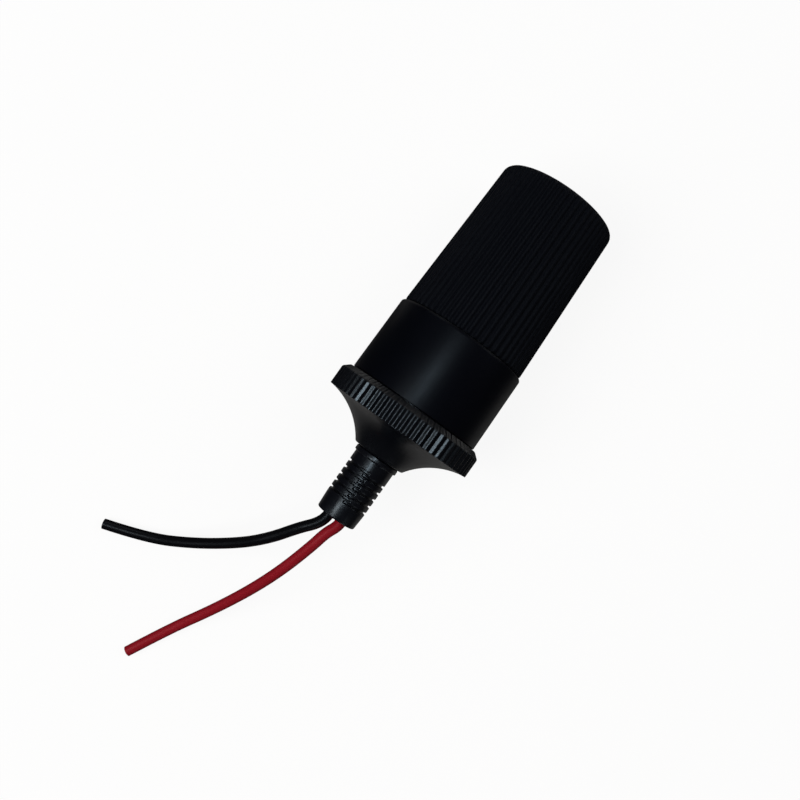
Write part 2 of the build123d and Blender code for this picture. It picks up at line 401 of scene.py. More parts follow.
@dataclass(frozen=True)
class WorkedMetal:
    """Bright sheet or rivet metal, with the marks of its working and a little tarnish."""

    name: str
    colour: Colour
    tarnish: Colour
    roughness: float
    lay: Lay
    mark_depth: float = 0.006
    patches: Pattern = Pattern(0.4, 4.0)
    dulled_patches: Span = (0.48, 0.75)
    dulled_tint: float = 0.75
    mark_tint: float = 0.2
    dulling: float = 0.16
    mark_dulling: float = 0.14

    def material(self, axis: SocketAxis) -> Material:
        """Makes the material.

        Args:
            axis: the socket's axis.

        Returns:
            The material.
        """
        shader = Shader(bpy.data.materials.new(self.name))
        own = OwnFrame(shader, axis)
        marks = own.noise(self.lay.value)
        dulled = own.noise(self.patches).rise(*self.dulled_patches)
        share = dulled * self.dulled_tint + marks * self.mark_tint
        dulling = self.roughness + self.dulling * dulled
        return shader.principled(
            {
                "Base Color": shader.tint(self.colour, self.tarnish, share),
                "Metallic": 1.0,
                "Roughness": dulling + self.mark_dulling * (marks - NOISE_MIDDLE),
                "Normal": shader.relief(marks, self.mark_depth),
            }
        )


@dataclass(frozen=True)
class PressedFibre:
    """Vulcanised fibre board: matted threads under a dull, waxy face."""

    name: str
    colour: Colour
    thread: Colour
    across: Pattern = Pattern(1.4, 5.0, (2.0, 0.6, 5.0))
    along: Pattern = Pattern(1.4, 5.0, (2.0, 5.0, 0.6))
    threads: Span = (0.45, 0.72)
    thread_depth: float = 0.03
    thread_polish: float = 0.14
    roughness: float = 0.66

    def material(self, axis: SocketAxis) -> Material:
        """Makes the material.

        Args:
            axis: the socket's axis.

        Returns:
            The material.
        """
        shader = Shader(bpy.data.materials.new(self.name))
        own = OwnFrame(shader, axis)
        matted = own.noise(self.across).highest(own.noise(self.along)).rise(*self.threads)
        return shader.principled(
            {
                "Base Color": shader.tint(self.colour, self.thread, matted),
                "Roughness": self.roughness - self.thread_polish * matted,
                "Normal": shader.relief(matted, self.thread_depth),
            }
        )


def round_off(bm: Shape, verts: list[bmesh.types.BMVert], offset: float, steps: int) -> None:
    """Rounds corners of a flat section."""
    bmesh.ops.bevel(
        bm, geom=verts, offset=offset, affect="VERTICES", segments=steps, profile=0.5, material=-1
    )


def spin(bm: Shape, angle: float, steps: int, **options: Any) -> None:
    """Spins all of a shape about the axis, with any more options of the operator."""
    geom = bm.verts[:] + bm.edges[:] + bm.faces[:]
    bmesh.ops.spin(bm, geom=geom, cent=(0, 0, 0), axis=(1, 0, 0), angle=angle, steps=steps, **options)


@dataclass(frozen=True)
class Teeth:
    """Lengthwise teeth. Tip and root are shares of the pitch, and softness rounds the flanks into both."""

    count: int
    steps: int
    depth: float
    tip: float
    root: float
    softness: float

    def height(self, share: float) -> float:
        """The height over the root.

        Args:
            share: the place, from -0.5 to 0.5 of the pitch from a tooth's middle.

        Returns:
            The height.
        """
        rise = (0.5 - self.root / 2 - abs(share)) / ((1 - self.tip - self.root) / 2)
        rise = min(1.0, max(0.0, rise))
        rounded = rise * rise * (3 - 2 * rise)
        return self.depth * (rise + self.softness * (rounded - rise))


@dataclass(frozen=True)
class Section:
    """A half section: each corner's place on the axis, its radius and, where it has one, its rounding."""

    corners: Sequence[tuple[float, ...]]
    round_steps: int = 5

    def wire(self) -> Shape:
        """Draws the section above the axis, closed but for an edge on the axis itself."""
        bm = bmesh.new()
        verts = [bm.verts.new((s, 0, r)) for s, r, *_ in self.corners]
        bm.faces.new(verts)
        for vert, (_, _, *rounding) in zip(verts, self.corners):
            if rounding:
                round_off(bm, [vert], rounding[0], self.round_steps)
        bmesh.ops.delete(bm, geom=bm.faces[:], context="FACES_ONLY")
        on_axis = [edge for edge in bm.edges if all(abs(vert.co.z) < JOIN for vert in edge.verts)]
        bmesh.ops.delete(bm, geom=on_axis, context="EDGES")
        return bm

    def spun(self, segments: int) -> Shape:
        """Turns the section right round.

        Args:
            segments: steps round the axis.

        Returns:
            The closed shape.
        """
        bm = self.wire()
        spin(bm, FULL_TURN, segments, use_merge=True)
        bmesh.ops.remove_doubles(bm, verts=bm.verts[:], dist=JOIN)
        return bm

    def knurled(self, teeth: Teeth, limit: Callable[[float, float], float]) -> Shape:
        """Turns the section, drawn over the tips of its teeth, right round.

        Args:
            teeth: the teeth, with one at the top.
            limit: the largest radius at a place on the axis and a share of the pitch from a tooth's middle.

        Returns:
            The closed shape.
        """
        bm = self.wire()
        pitch = FULL_TURN / teeth.count
        bmesh.ops.rotate(bm, verts=bm.verts[:], cent=(0, 0, 0), matrix=Matrix.Rotation(-pitch / 2, 3, "X"))
        spin(bm, pitch, teeth.steps)
        for vert in bm.verts:
            share = math.atan2(-vert.co.y, vert.co.z) / pitch
            scale = min(1.0, limit(vert.co.x, share) / math.hypot(vert.co.y, vert.co.z))
            vert.co.y *= scale
            vert.co.z *= scale
        spin(bm, FULL_TURN - pitch, teeth.count - 1, use_duplicate=True)
        bmesh.ops.remove_doubles(bm, verts=bm.verts[:], dist=JOIN)
        return bm


@dataclass(frozen=True)
class ThreadRidge:
    """A right-hand thread ridge, from its start on the axis."""

    start: float
    crest: float
    turns: float
    pitch: float = 2.5
    foot: float = 0.62
    top: float = 0.3
    sunk: float = 0.05
    rounding: float = 0.08
    round_steps: int = 2
    steps: int = 72

    def shape(self, root: float) -> Shape:
        """Winds the ridge inside or outside a wall.

        Args:
            root: the wall's radius.

        Returns:
            The closed ridge.
        """
        sunk = root - math.copysign(self.sunk, self.crest - root)
        section = ((-self.foot, sunk), (-self.top, self.crest), (self.top, self.crest), (self.foot, sunk))
        bm = bmesh.new()
        verts = [bm.verts.new((self.start + s, 0, r)) for s, r in section]
        bm.faces.new(verts)
        round_off(bm, verts[1:3], self.rounding, self.round_steps)
        steps = round(self.turns * self.steps)
        spin(bm, FULL_TURN * steps / self.steps, steps, dvec=(self.pitch / self.steps, 0, 0))
        return bm


def add_object(name: str, data: bpy.types.ID) -> bpy.types.Object:
    """Puts a new object into the scene.

    Args:
        name: its name.
        data: its mesh, curve, light or camera.

    Returns:
        The object.
    """
    added = bpy.data.objects.new(name, data)
    bpy.context.scene.collection.objects.link(added)
    return added


def add_mesh(name: str, bm: Shape, material: Material) -> bpy.types.Object:
    """Puts a shape into the scene.

    Args:
        name: its name.
        bm: the shape, which is used up.
        material: its finish.

    Returns:
        The object.
    """
    mesh = bpy.data.meshes.new(name)
    bm.to_mesh(mesh)
    bm.free()
    mesh.materials.append(material)
    return add_object(name, mesh)


@dataclass
class Workshop:
    """Finishes shapes of the own frame as pieces of the model."""

    axis: SocketAxis
    sharp: float = math.radians(38)

    def finish(
        self, name: str, bm: Shape, material: Material, body: Body, slot: str, nodes: Sequence[str] = ()
    ) -> bpy.types.Object:
        """Makes a piece from a shape in the own frame.

        Args:
            name: the piece's name.
            bm: its shape, which is used up.
            material: its finish.
            body: the body that it moves with.
            slot: the record's slot for that finish; not used.
            nodes: the solids that it stands for.

        Returns:
            The piece.
        """
        bmesh.ops.recalc_face_normals(bm, faces=bm.faces[:])
        for face in bm.faces:
            face.smooth = True
        for edge in bm.edges:
            edge.smooth = len(edge.link_faces) == 2 and edge.calc_face_angle() < self.sharp
        bmesh.ops.transform(bm, matrix=self.axis.matrix, verts=bm.verts[:])
        piece = add_mesh(name, bm, material)
        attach(piece, body.value)
        if nodes:
            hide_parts(*nodes)
        LOG.info("%s: %d faces", name, len(piece.data.polygons))
        return piece

    def redress(self, node: str, material: Material) -> None:
        """Gives a solid that stays in view a better finish."""
        for slot in frame["nodes"][node].material_slots:
            slot.material = material
        LOG.info("%s: finish %s", node, material.name)


@dataclass
class BarrelMoulding:
    """The smooth rear body and the ribbed, tapered barrel in one moulding, with a thread in its rear end."""

    shop: Workshop
    plastic: MouldedPlastic
    rear: float = 5.55
    rear_round: float = 0.22
    shoulder: float = 22.6
    shoulder_round: float = 0.6
    mouth: float = 57.6
    mouth_radius: float = 13.1
    mouth_round: float = 1.3
    body_rear_radius: float = 15.0
    body_front_radius: float = 14.75
    rib_rear_radius: float = 14.3
    ribs: Teeth = Teeth(count=56, steps=12, depth=0.42, tip=0.22, root=0.22, softness=1.0)
    rib_fade: float = 0.75
    fade_steps: int = 6
    rub_depth: Span = (0.02, 0.3)
    matted_edge: float = 0.2
    lip_radius: float = 10.8
    lip_length: float = 1.2
    lip_chamfer: float = 0.4
    seat_radius: float = 11.35
    seat_rear: float = 16.2
    counterbore: float = 13.4
    thread: ThreadRidge = ThreadRidge(start=7.75, crest=13.05, turns=2.2)

    def tip_radius(self, s: Number) -> Number:
        """The radius over the ribs at a place on the axis."""
        slope = (self.rib_rear_radius - self.mouth_radius) / (self.mouth - self.shoulder)
        return self.rib_rear_radius - slope * (s - self.shoulder)

    def limit(self, s: float, share: float) -> float:
        """The radius of the ribbed surface.

        Args:
            s: the place on the axis.
            share: the share of the pitch from a rib's middle.

        Returns:
            The radius, without limit on the smooth body.
        """
        if s < self.shoulder - JOIN:
            return math.inf
        fade = min(1.0, max(0.0, (s - self.shoulder) / self.rib_fade))
        height = self.ribs.height(share) * math.sin(fade * math.pi / 2)
        return self.tip_radius(s) - self.ribs.depth + height

    def touched(self, own: OwnFrame) -> Value:
        """1 on the body and along the tips of the ribs, 0 in the hollows between them."""
        below = self.tip_radius(own.s) - own.radius
        return 1 - below.rise(*self.rub_depth)

    def matted(self, own: OwnFrame) -> Value:
        """1 on the ribbed barrel, whose mould is duller than the body's."""
        return own.s.rise(self.shoulder - self.matted_edge, self.shoulder + self.matted_edge)

    def section(self) -> Section:
        """The moulding's half section, from its rear face over the outside and back through the bore."""
        steps = range(self.fade_steps + 1)
        fading = [self.shoulder + self.rib_fade * step / self.fade_steps for step in steps]
        corners = [
            (self.rear, self.counterbore, EDGE),
            (self.rear, self.body_rear_radius, self.rear_round),
            (self.shoulder, self.body_front_radius, self.shoulder_round),
            *((s, self.tip_radius(s)) for s in fading),
            (self.mouth, self.mouth_radius, self.mouth_round),
            (self.mouth, self.lip_radius + self.lip_chamfer, FINE_EDGE),
            (self.mouth - self.lip_chamfer, self.lip_radius, FINE_EDGE),
            (self.mouth - self.lip_length, self.lip_radius),
            (self.mouth - self.lip_length, self.seat_radius),
            (self.seat_rear, self.seat_radius),
            (self.seat_rear, self.counterbore),
        ]
        return Section(corners)

    def build(self) -> None:
        """Builds the moulding and its thread."""
        material = self.plastic.material(self.shop.axis, self.touched, self.matted)
        shape = self.section().knurled(self.ribs, self.limit)
        self.shop.finish("barrel_moulding", shape, material, Body.BARREL, "barrel_plastic", ["outer_barrel"])
        thread = self.thread.shape(self.counterbore)
        self.shop.finish("barrel_thread", thread, material, Body.BARREL, "barrel_plastic")


@dataclass
class CapMoulding:
    """The screw cap: a knurled collar, a trumpet-shaped tail with its neck, and the threaded spigot."""

    shop: Workshop
    plastic: MouldedPlastic
    collar_radius: float = 16.9
    collar_length: float = 5.4
    collar_rear_round: float = 0.14
    collar_front_round: float = 0.12
    chamfer_length: float = 1.1
    chamfer_depth: float = 1.3
    teeth: Teeth = Teeth(count=66, steps=14, depth=0.42, tip=0.1, root=0.1, softness=0.15)
    rub_depth: Span = (0.75, 0.1)
    rim_margin: float = 0.1
    rim_step: float = 0.02
    neck_length: float = 6.8
    neck_radius: float = 5.8
    neck_bore: float = 3.75
    flare_angle: float = 33.0
    flare_steps: int = 15
    spigot_radius: float = 12.9
    spigot_front: float = 13.3
    spigot_round: float = 0.4
    cavity_radius: float = 11.2
    cavity_rear: float = 2.0
    seat: float = -2.9
    seat_radius: float = 6.2
    thread: ThreadRidge = ThreadRidge(start=6.5, crest=13.25, turns=2.4)

    def limit(self, s: float, share: float) -> float:
        """The radius of the knurled surface.

        Args:
            s: the place on the axis.
            share: the share of the pitch from a tooth's middle.

        Returns:
            The radius, without limit off the collar.
        """
        if s < -JOIN or s > self.collar_length + JOIN:
            return math.inf
        over = self.collar_radius
        run = s - (self.collar_length - self.chamfer_length)
        if run > 0:
            over -= self.chamfer_depth * run / self.chamfer_length
        return over - self.teeth.depth + self.teeth.height(share)

    def touched(self, own: OwnFrame) -> Value:
        """1 along the tips of the teeth, less in the hollows between them, and 0 down the flare."""
        low, high = self.rub_depth
        return own.radius.rise(self.collar_radius - low, self.collar_radius - high)

    def flare(self) -> list[tuple[float, ...]]:
        """The trumpet's line, one arc from the neck to the collar's rim, both ends included."""
        start = Vector((-self.neck_length, self.neck_radius))
        end = Vector((0.0, self.collar_radius - self.teeth.depth - self.rim_margin))
        angle = math.radians(self.flare_angle)
        normal = Vector((-math.sin(angle), math.cos(angle)))
        chord = end - start
        radius = chord.length_squared / (2 * chord.dot(normal))
        centre = start + normal * radius
        first, last = start - centre, end - centre
        turn = first.angle_signed(last)
        arc = []
        for step in range(self.flare_steps + 1):
            spoke = first.copy()
            spoke.rotate(Matrix.Rotation(-turn * step / self.flare_steps, 2))
            arc.append(tuple(centre + spoke))
        return arc

    def section(self) -> Section:
        """The cap's half section, from its neck over the outside and back through the cavity."""
        neck, *flare, rim = self.flare()
        corners = [
            (neck[0], self.neck_bore, FINE_EDGE),
            (*neck, BROAD_EDGE),
            *flare,
            (rim[0] - self.rim_step, rim[1]),
            (0, rim[1]),
            (0, self.collar_radius, self.collar_rear_round),
            (self.collar_length - self.chamfer_length, self.collar_radius, BROAD_EDGE),
            (self.collar_length, self.collar_radius - self.chamfer_depth, self.collar_front_round),
            (self.collar_length, self.spigot_radius),
            (self.spigot_front, self.spigot_radius, self.spigot_round),
            (self.spigot_front, self.cavity_radius, EDGE),
            (self.cavity_rear, self.cavity_radius),
            (self.seat, self.seat_radius),
            (self.seat, self.neck_bore),
        ]
        return Section(corners)

    def build(self) -> None:
        """Builds the cap and its thread."""
        material = self.plastic.material(self.shop.axis, self.touched)
        shape = self.section().knurled(self.teeth, self.limit)
        self.shop.finish("cap_moulding", shape, material, Body.CAP, "cap_plastic", ["rear_cap"])
        thread = self.thread.shape(self.spigot_radius)
        self.shop.finish("cap_thread", thread, material, Body.CAP, "cap_plastic")


@dataclass
class ReliefSleeve:
    """The soft bend relief in the cap's neck: a bead, slots cut in turn from its two sides, a tapered end."""

    shop: Workshop
    vinyl: SoftVinyl
    front: float = -1.3
    seat: float = -2.8
    shoulder: float = -6.95
    end: float = RELIEF_END
    end_round: float = 0.3
    radius: float = 4.63
    flange_radius: float = 5.6
    waist_radius: float = 3.6
    bead_radius: float = 5.0
    bead_end: float = -8.1
    bead_round: float = 0.22
    taper_start: float = -18.5
    tip_radius: float = 4.42
    slot_count: int = 5
    slot_pitch: float = 1.63
    slot_width: float = 0.55
    slot_inset: float = 0.02
    slot_core: float = 4.13
    slot_overlap: float = 0.5
    first_slot: float = -10.6
    edge_width: float = 0.11
    edge_steps: int = 3
    edge_angle: float = 50.0
    segments: int = 96

    def slots(self) -> list[tuple[Side, float]]:
        """The side and the middle of each slot, from the cap towards the end."""
        staggers = ((Side.BLACK, 0.0), (Side.RED, 0.5))
        return [
            (side, self.first_slot - (number + stagger) * self.slot_pitch)
            for number in range(self.slot_count)
            for side, stagger in staggers
        ]

    def section(self) -> Section:
        """The sleeve's half section, with a corner at each edge of each slot."""
        half = self.slot_width / 2
        edges = [middle + edge for _, middle in self.slots() for edge in (half, -half)]
        corners = [
            (self.front, 0),
            (self.front, self.flange_radius, FINE_EDGE),
            (self.seat, self.flange_radius, FINE_EDGE),
            (self.seat, self.waist_radius),
            (self.shoulder, self.waist_radius),
            (self.shoulder, self.bead_radius, self.bead_round),
            (self.bead_end, self.bead_radius, self.bead_round),
            (self.bead_end, self.radius),
            *((s, self.radius) for s in sorted(edges, reverse=True)),
            (self.taper_start, self.radius),
            (self.end, self.tip_radius, self.end_round),
            (self.end, 0),
        ]
        return Section(corners)

    def cut_slot(self, bm: Shape, side: Side, middle: float) -> None:
        """Sinks one slot into the sleeve.

        Args:
            bm: the sleeve.
            side: the side that it is cut from.
            middle: its place on the axis.
        """
        floor = []
        for face in bm.faces:
            centre = face.calc_center_median()
            if abs(centre.x - middle) < self.slot_width / 2 and centre.y * side.value > -self.slot_overlap:
                if centre.yz.length > (self.slot_core + self.radius) / 2:
                    floor.append(face)
        bmesh.ops.inset_region(
            bm, faces=floor, thickness=self.slot_inset, use_even_offset=True, use_boundary=True
        )
        for vert in {vert for face in floor for vert in face.verts}:
            vert.co.yz = vert.co.yz * self.slot_core / self.radius

    def build(self) -> None:
        """Builds the sleeve, cuts its slots and softens its edges."""
        shape = self.section().spun(self.segments)
        for side, middle in self.slots():
            self.cut_slot(shape, side, middle)
        material = self.vinyl.material(self.shop.axis)
        piece = self.shop.finish(
            "relief_sleeve", shape, material, Body.INSERT, "relief_vinyl", ["strain_relief"]
        )
        soften = piece.modifiers.new("softened_edges", "BEVEL")
        soften.width = self.edge_width * MM
        soften.segments = self.edge_steps
        soften.limit_method = "ANGLE"
        soften.angle_limit = math.radians(self.edge_angle)


@dataclass
class ContactCan:
    """The drawn steel can that the plug slides into, with two lanced tongues."""

    shop: Workshop
    steel: WorkedMetal
    base_outside: float = 16.1
    sheet: float = 0.5
    front: float = 56.3
    bore: float = 10.55
    base_bend: float = 1.6
    hole_radius: float = 4.0
    tongue_root: float = 48.6
    tongue_length: float = 12.0
    tongue_width: float = 5.0
    slit: float = 0.6
    cut_tolerance: float = 1e-5
    segments: int = 144

    @property
    def base_inside(self) -> float:
        """The place of the bore's floor on the axis."""
        return self.base_outside + self.sheet

    def section(self) -> Section:
        """The can's half section, an even sheet bent round at its base."""
        outer = self.bore + self.sheet
        corners = [
            (self.base_outside, self.hole_radius),
            (self.base_outside, outer, self.base_bend + self.sheet),
            (self.front, outer, EDGE),
            (self.front, self.bore, EDGE),
            (self.base_inside, self.bore, self.base_bend),
            (self.base_inside, self.hole_radius),
        ]
        return Section(corners)

    def lance(self, bm: Shape) -> None:
        """Cuts the slits round both tongues right through the sheet.

        Args:
            bm: the can.
        """
        tip = self.tongue_root - self.tongue_length
        half = self.tongue_width / 2
        cuts = [(s, (1, 0, 0)) for s in (tip, tip + self.slit, self.tongue_root)]
        cuts += [(y, (0, 1, 0)) for y in (-half, self.slit - half, half - self.slit, half)]
        for offset, normal in cuts:
            bmesh.ops.bisect_plane(
                bm,
                geom=bm.verts[:] + bm.edges[:] + bm.faces[:],
                dist=self.cut_tolerance,
                plane_co=Vector(normal) * offset,
                plane_no=normal,
            )
        slits = []
        for face in bm.faces:
            s, y, _ = face.calc_center_median()
            in_cut = tip < s < self.tongue_root and abs(y) < half
            in_tongue = s > tip + self.slit and abs(y) < half - self.slit
            if in_cut and not in_tongue:
                slits.append(face)
        bmesh.ops.delete(bm, geom=slits, context="FACES")
        for sign in (1, -1):
            rims = [edge for edge in bm.edges if edge.is_boundary and edge.verts[0].co.z * sign > 0]
            bmesh.ops.bridge_loops(bm, edges=rims)

    def build(self) -> None:
        """Builds the can."""
        shape = self.section().spun(self.segments)
        self.lance(shape)
        material = self.steel.material(self.shop.axis)
        self.shop.finish("contact_can", shape, material, Body.INSERT, "shell_steel", ["socket_shell"])


@dataclass(frozen=True)
class Rivet:
    """A rivet with a domed head in front and a clinched one behind, rounded by shares of them."""

    head: float
    height: float
    shank: float
    clinch: float
    clinch_height: float
    clinch_round: float = 0.8
    rim: float = 0.97
    rim_height: float = 0.82
    rim_round: float = 0.6
    crown: float = 0.45
    crown_round: float = 0.2
    segments: int = 48

    def shape(self, seat: float, clinch_seat: float) -> Shape:
        """Turns the rivet on the axis.

        Args:
            seat: the place of its head.
            clinch_seat: the place of its clinched head.

        Returns:
            The closed shape.
        """
        low, top = clinch_seat - self.clinch_height, seat + self.height
        corners = [
            (low, 0),
            (low, self.clinch, self.clinch_height * self.clinch_round),
            (clinch_seat, self.clinch),
            (clinch_seat, self.shank),
            (seat, self.shank),
            (seat, self.head),
            (seat + self.height * self.rim_height, self.head * self.rim, self.height * self.rim_round),
            (top, self.head * self.crown, self.head * self.crown_round),
            (top, 0),
        ]
        return Section(corners).spun(self.segments)


@dataclass
class ContactStack:
    """What is seen at the bottom of the bore: the fibre washer, the centre contact and the earth rivet."""

    can: ContactCan
    fibre: PressedFibre
    brass: WorkedMetal
    washer_length: float = 0.5
    washer_radius: float = 4.9
    washer_segments: int = 64
    boss_radius: float = 3.95
    shank_hole: float = 2.0
    tag_rear: float = 12.8
    contact: Rivet = Rivet(head=3.4, height=0.9, shank=1.95, clinch=2.9, clinch_height=0.9)
    earth: Rivet = Rivet(head=1.7, height=0.65, shank=1.1, clinch=1.7, clinch_height=0.65)
    earth_side: float = 7.0

    def build(self) -> None:
        """Builds the washer, the contact and the rivet."""
        shop, outside, inside = self.can.shop, self.can.base_outside, self.can.base_inside
        face = inside + self.washer_length
        corners = [
            (outside, self.shank_hole),
            (outside, self.boss_radius),
            (inside, self.boss_radius),
            (inside, self.washer_radius),
            (face, self.washer_radius, FINE_EDGE),
            (face, self.shank_hole),
        ]
        washer = Section(corners).spun(self.washer_segments)
        board = self.fibre.material(shop.axis)
        shop.finish("fibre_washer", washer, board, Body.INSERT, "fibre", ["inner_insulator"])
        metal = self.brass.material(shop.axis)
        contact = self.contact.shape(face, self.tag_rear)
        shop.finish("contact_button", contact, metal, Body.INSERT, "contact_brass", ["centre_contact"])
        earth = self.earth.shape(inside, self.tag_rear)
        bmesh.ops.translate(earth, verts=earth.verts[:], vec=(0, self.earth_side, 0))
        shop.finish("earth_rivet", earth, metal, Body.INSERT, "contact_brass", ["negative_rivet"])


@dataclass
class FreeLead:
    """One cut lead from the relief's end to where it lies on the ground."""

    shop: Workshop
    vinyl: Material
    copper: Material
    name: str
    side: Side
    length: float
    route: tuple[Point, ...]
    slot: str
    node: str
    radius: float = 1.2
    spacing: float = 3.0
    straight: float = 1.25
    line_order: int = 3
    line_steps: int = 16
    round_steps: int = 6
    strand_rings: int = 3
    strands_a_ring: int = 6
    strand_ring: float = 0.235
    strand_twist: float = 0.04
    strand_radius: float = 0.112
    strand_taper: float = 0.9
    strand_length: float = 0.7
    strand_sunk: float = 0.3
    strand_sides: int = 10
    uneven: float = 0.05
    uneven_by_number: float = 7.0
    uneven_by_ring: float = 2.0

    def line(self) -> list[Vector]:
        """The control points of the lead's line, in metres."""
        y = self.side.value * self.spacing / 2
        held = [self.shop.axis.place(s, y, 0) for s in (RELIEF_END, RELIEF_END - self.straight)]
        return held + [Vector(point) * MM for point in self.route]

    def strands(self, points: list[Vector]) -> bpy.types.Object:
        """The cut copper strands that show in the lead's end.

        Args:
            points: the lead's line.

        Returns:
            The strands as one piece.
        """
        bm = bmesh.new()
        end, run = points[-1], (points[-1] - points[-2]).normalized()
        turn = Vector((0, 0, 1)).rotation_difference(run).to_matrix().to_4x4()
        to_own = self.shop.axis.matrix.inverted()
        for ring in range(self.strand_rings):
            count = self.strands_a_ring * ring or 1
            spread = self.strand_ring * ring
            for number in range(count):
                angle = FULL_TURN * (number / count + self.strand_twist * ring)
                wave = math.sin(self.uneven_by_number * number + self.uneven_by_ring * ring)
                depth = self.uneven * wave - self.strand_sunk
                spot = Vector((spread * math.cos(angle), spread * math.sin(angle), depth))
                place = Matrix.Translation(end) @ turn @ Matrix.Scale(MM, 4) @ Matrix.Translation(spot)
                bmesh.ops.create_cone(
                    bm,
                    cap_ends=True,
                    segments=self.strand_sides,
                    radius1=self.strand_radius,
                    radius2=self.strand_radius * self.strand_taper,
                    depth=self.strand_length,
                    matrix=to_own @ place,
                )
        return self.shop.finish(f"{self.name}_strands", bm, self.copper, Body.INSERT, "copper")

    def build(self) -> None:
        """Builds the lead and its cut strands."""
        points = self.line()
        curve = bpy.data.curves.new(self.name, "CURVE")
        curve.dimensions = "3D"
        spline = curve.splines.new("NURBS")
        spline.points.add(len(points) - 1)
        for knot, point in zip(spline.points, points):
            knot.co = (*point, 1.0)
        spline.order_u = self.line_order
        spline.use_endpoint_u = True
        spline.resolution_u = self.line_steps
        curve.bevel_depth = self.radius * MM
        curve.bevel_resolution = self.round_steps
        curve.use_fill_caps = True
        curve.materials.append(self.vinyl)
        lead = add_object(self.name, curve)
        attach(lead, Body.INSERT.value)
        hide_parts(self.node)
        strands = self.strands(points)
        2 * self.radius * MM
        LOG.info("%s: %.1f mm", self.name, self.length)


@dataclass
class InnerWorks:
    """The solids behind the can that keep their shape: the insulator disc, the tags and the held leads."""

    shop: Workshop
    plastic: MouldedPlastic
    brass: WorkedMetal
    red: Material
    black: Material
    copper: Material
    disc_rim: Span = (11.0, 12.8)

    def touched(self, own: OwnFrame) -> Value:
        """1 on the disc's rim, 0 in its middle."""
        return own.radius.rise(*self.disc_rim)

    def dress(self) -> None:
        """Gives each solid its finish."""
        tag = self.brass.material(self.shop.axis)
        finishes = {
            "base_insulator": self.plastic.material(self.shop.axis, self.touched),
            "positive_tag": tag,
            "negative_tag": tag,
            "red_lead_inner": self.red,
            "black_lead_inner": self.black,
            "red_conductor": self.copper,
            "black_conductor": self.copper,
        }
        for node, material in finishes.items():
            self.shop.redress(node, material)


@dataclass
class Softbox:
    """A rectangular lamp that looks at a point. It lights either mirrors alone or all but mirrors."""

    name: str
    place: Point
    target: Point
    size: Span
    watts: float
    colour: Colour
    glossy: bool

    def build(self) -> None:
        """Hangs the lamp."""
        light = bpy.data.lights.new(self.name, "AREA")
        light.shape = "RECTANGLE"
        light.size, light.size_y = self.size
        light.energy = self.watts
        light.color = self.colour
        lamp = add_object(self.name, light)
        lamp.location = self.place
        aim = Vector(self.target) - Vector(self.place)
        lamp.rotation_euler = aim.to_track_quat("-Z", "Y").to_euler()
        lamp.visible_glossy = self.glossy
        lamp.visible_diffuse = not self.glossy


@dataclass(frozen=True)
class Patch:
    """A round patch of the ground, in metres, that is full up to one radius and gone from another."""

    centre: Point
    inside: float
    outside: float

    def share(self, shader: Shader) -> Value:
        """The patch, from 0 to 1, in the ground's material.

        Args:
            shader: writes the ground's nodes.

        Returns:
            The share.
        """
        point = shader.node("ShaderNodeTexCoord").outputs["Object"]
        distance = shader.node("ShaderNodeVectorMath", {"operation": "DISTANCE"}, {0: point, 1: self.centre})
        return 1 - shader.number(distance.outputs["Value"]).rise(self.inside, self.outside)


